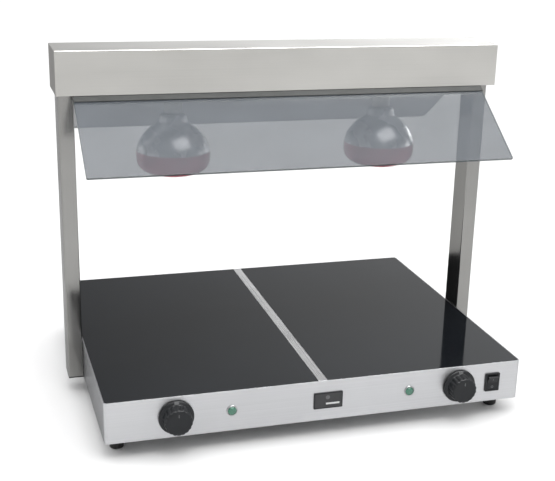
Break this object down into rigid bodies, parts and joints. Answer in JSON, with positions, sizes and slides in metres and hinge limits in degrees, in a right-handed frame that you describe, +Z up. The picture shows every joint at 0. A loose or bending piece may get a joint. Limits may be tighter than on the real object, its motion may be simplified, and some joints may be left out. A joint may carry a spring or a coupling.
{
  "type": "heat lamp warmer",
  "caption": "Countertop food warmer: heated black glass plates in a low steel base, two posts, and a canopy with infrared lamps between tilted tinted glass shields.",
  "frame": {"origin": "on the floor under the middle of the object's bounding box, which lies 11 mm in front of the casing's middle because the knobs stand further out than the inlet does", "axes": "+Z up; +X to the operator's right; +Y from the control panel towards the back"},
  "size_m": [0.76, 0.587, 0.594],
  "materials": {
    "brushed_steel": "brushed, satin",
    "fastener_steel": "plated",
    "aluminium": "bright mill finish",
    "black_glass": "polished, opaque black",
    "tinted_glass": "polished, smoke tint",
    "red_glass": "polished ruby, silvered behind",
    "black_plastic": "fine texture",
    "green_lens": "translucent, gloss",
    "rubber": "moulded",
    "silicone": "matte",
    "ceramic": "glazed white porcelain",
    "mica": "laminated mica",
    "insulation": "pressed mineral wool",
    "brass": "machined",
    "copper": "drawn tube",
    "lead_sheath": "glass braid"
  },
  "bodies": {
    "frame": {"body_wrap": "brushed_steel", "base_plate": "brushed_steel", "foot_front_left": "rubber", "foot_front_right": "rubber", "foot_rear_left": "rubber", "foot_rear_right": "rubber", "divider_strip": "brushed_steel", "badge_plate": "black_plastic", "bulb_cap_left": "brass", "bulb_cap_right": "brass", "bulb_left": "red_glass", "bulb_right": "red_glass", "canopy_bolt_left": "fastener_steel", "canopy_bolt_right": "fastener_steel", "canopy_bracket_left": "brushed_steel", "canopy_bracket_right": "brushed_steel", "canopy_shell": "brushed_steel", "capillary_left": "copper", "capillary_right": "copper", "front_shield": "tinted_glass", "glass_plate_left": "black_glass", "glass_plate_right": "black_glass", "glass_seal_left": "silicone", "glass_seal_right": "silicone", "heater_mat_left": "mica", "heater_mat_right": "mica", "heater_tray_left": "aluminium", "heater_tray_right": "aluminium", "inlet_pins": "brass", "insulation_board_left": "insulation", "insulation_board_right": "insulation", "lamp_holder_left": "ceramic", "lamp_holder_right": "ceramic", "lamp_lead": "lead_sheath", "pilot_bezel_left": "aluminium", "pilot_bezel_right": "aluminium", "pilot_lens_left": "green_lens", "pilot_lens_right": "green_lens", "post_bolt_lower_left": "fastener_steel", "post_bolt_lower_right": "fastener_steel", "post_bolt_upper_left": "fastener_steel", "post_bolt_upper_right": "fastener_steel", "post_left": "brushed_steel", "post_plug_left": "black_plastic", "post_plug_right": "black_plastic", "post_right": "brushed_steel", "power_inlet": "black_plastic", "rear_shield": "tinted_glass", "reflector_pan": "aluminium", "rocker_housing": "black_plastic", "shield_rail_front": "black_plastic", "shield_rail_rear": "black_plastic", "terminal_block": "ceramic", "thermostat_left": "ceramic", "thermostat_right": "ceramic"},
    "knob_left": {"knob_left": "black_plastic", "spindle_left": "brass"},
    "knob_right": {"knob_right": "black_plastic", "spindle_right": "brass"},
    "rocker": {"rocker": "black_plastic"}
  },
  "joints": [
    {"name": "knob_left_turn", "type": "hinge", "parent": "frame", "child": "knob_left", "pos_m": [-0.239, -0.269, 0.0645], "axis": [0, 1, 0], "range_deg": [0, 280]},
    {"name": "knob_right_turn", "type": "hinge", "parent": "frame", "child": "knob_right", "pos_m": [0.239, -0.269, 0.0645], "axis": [0, 1, 0], "range_deg": [0, 280]},
    {"name": "rocker_tilt", "type": "hinge", "parent": "frame", "child": "rocker", "pos_m": [0.3, -0.2675, 0.0645], "axis": [-1, 0, 0], "range_deg": [0, 20]}
  ]
}
